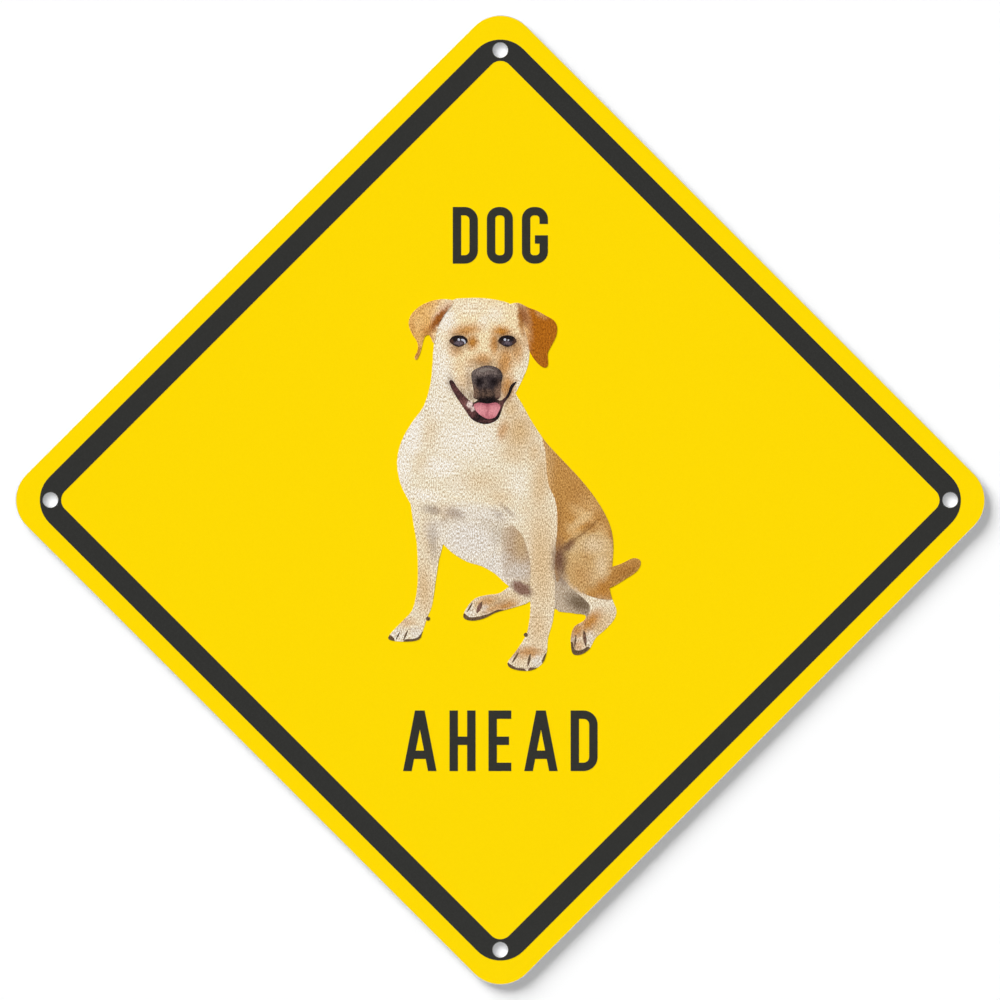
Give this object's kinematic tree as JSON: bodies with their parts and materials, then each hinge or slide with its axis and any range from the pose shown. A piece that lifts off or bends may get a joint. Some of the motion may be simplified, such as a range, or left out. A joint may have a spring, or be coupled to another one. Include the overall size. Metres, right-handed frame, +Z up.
{
  "type": "dog crossing sign",
  "caption": "Diamond aluminium warning sign with a yellow face, black border stripe, printed sitting dog and a hole in each corner.",
  "frame": {"origin": "centre of the panel's back face, in the middle of the four holes", "axes": "-Y the way the printed face looks, +Y out of the back face, +Z up to the top corner, +X to the viewer's right"},
  "size_m": [0.4178, 0.0021, 0.4178],
  "materials": {
    "aluminium_blank": "mill finish sheet, satin",
    "yellow_film": "smooth vinyl film with a clear laminate",
    "black_stripe_ink": "printed ink under a clear laminate",
    "cream_ink": "printed ink under a clear laminate",
    "dark_ink": "printed ink under a clear laminate",
    "golden_ink": "printed ink under a clear laminate",
    "grey_brown_ink": "printed ink under a clear laminate",
    "white_ink": "printed ink under a clear laminate",
    "brown_ink": "printed ink under a clear laminate",
    "pink_ink": "printed ink under a clear laminate",
    "highlight_ink": "printed ink under a clear laminate"
  },
  "bodies": {
    "root": {"sign_panel": "aluminium_blank", "face_film": "yellow_film", "border_stripe": "black_stripe_ink", "dog_coat": "cream_ink", "dog_dark": "dark_ink", "dog_tan": "golden_ink", "dog_shade": "grey_brown_ink", "dog_white": "white_ink", "dog_brown": "brown_ink", "dog_tongue": "pink_ink", "dog_glints": "highlight_ink"}
  },
  "joints": []
}
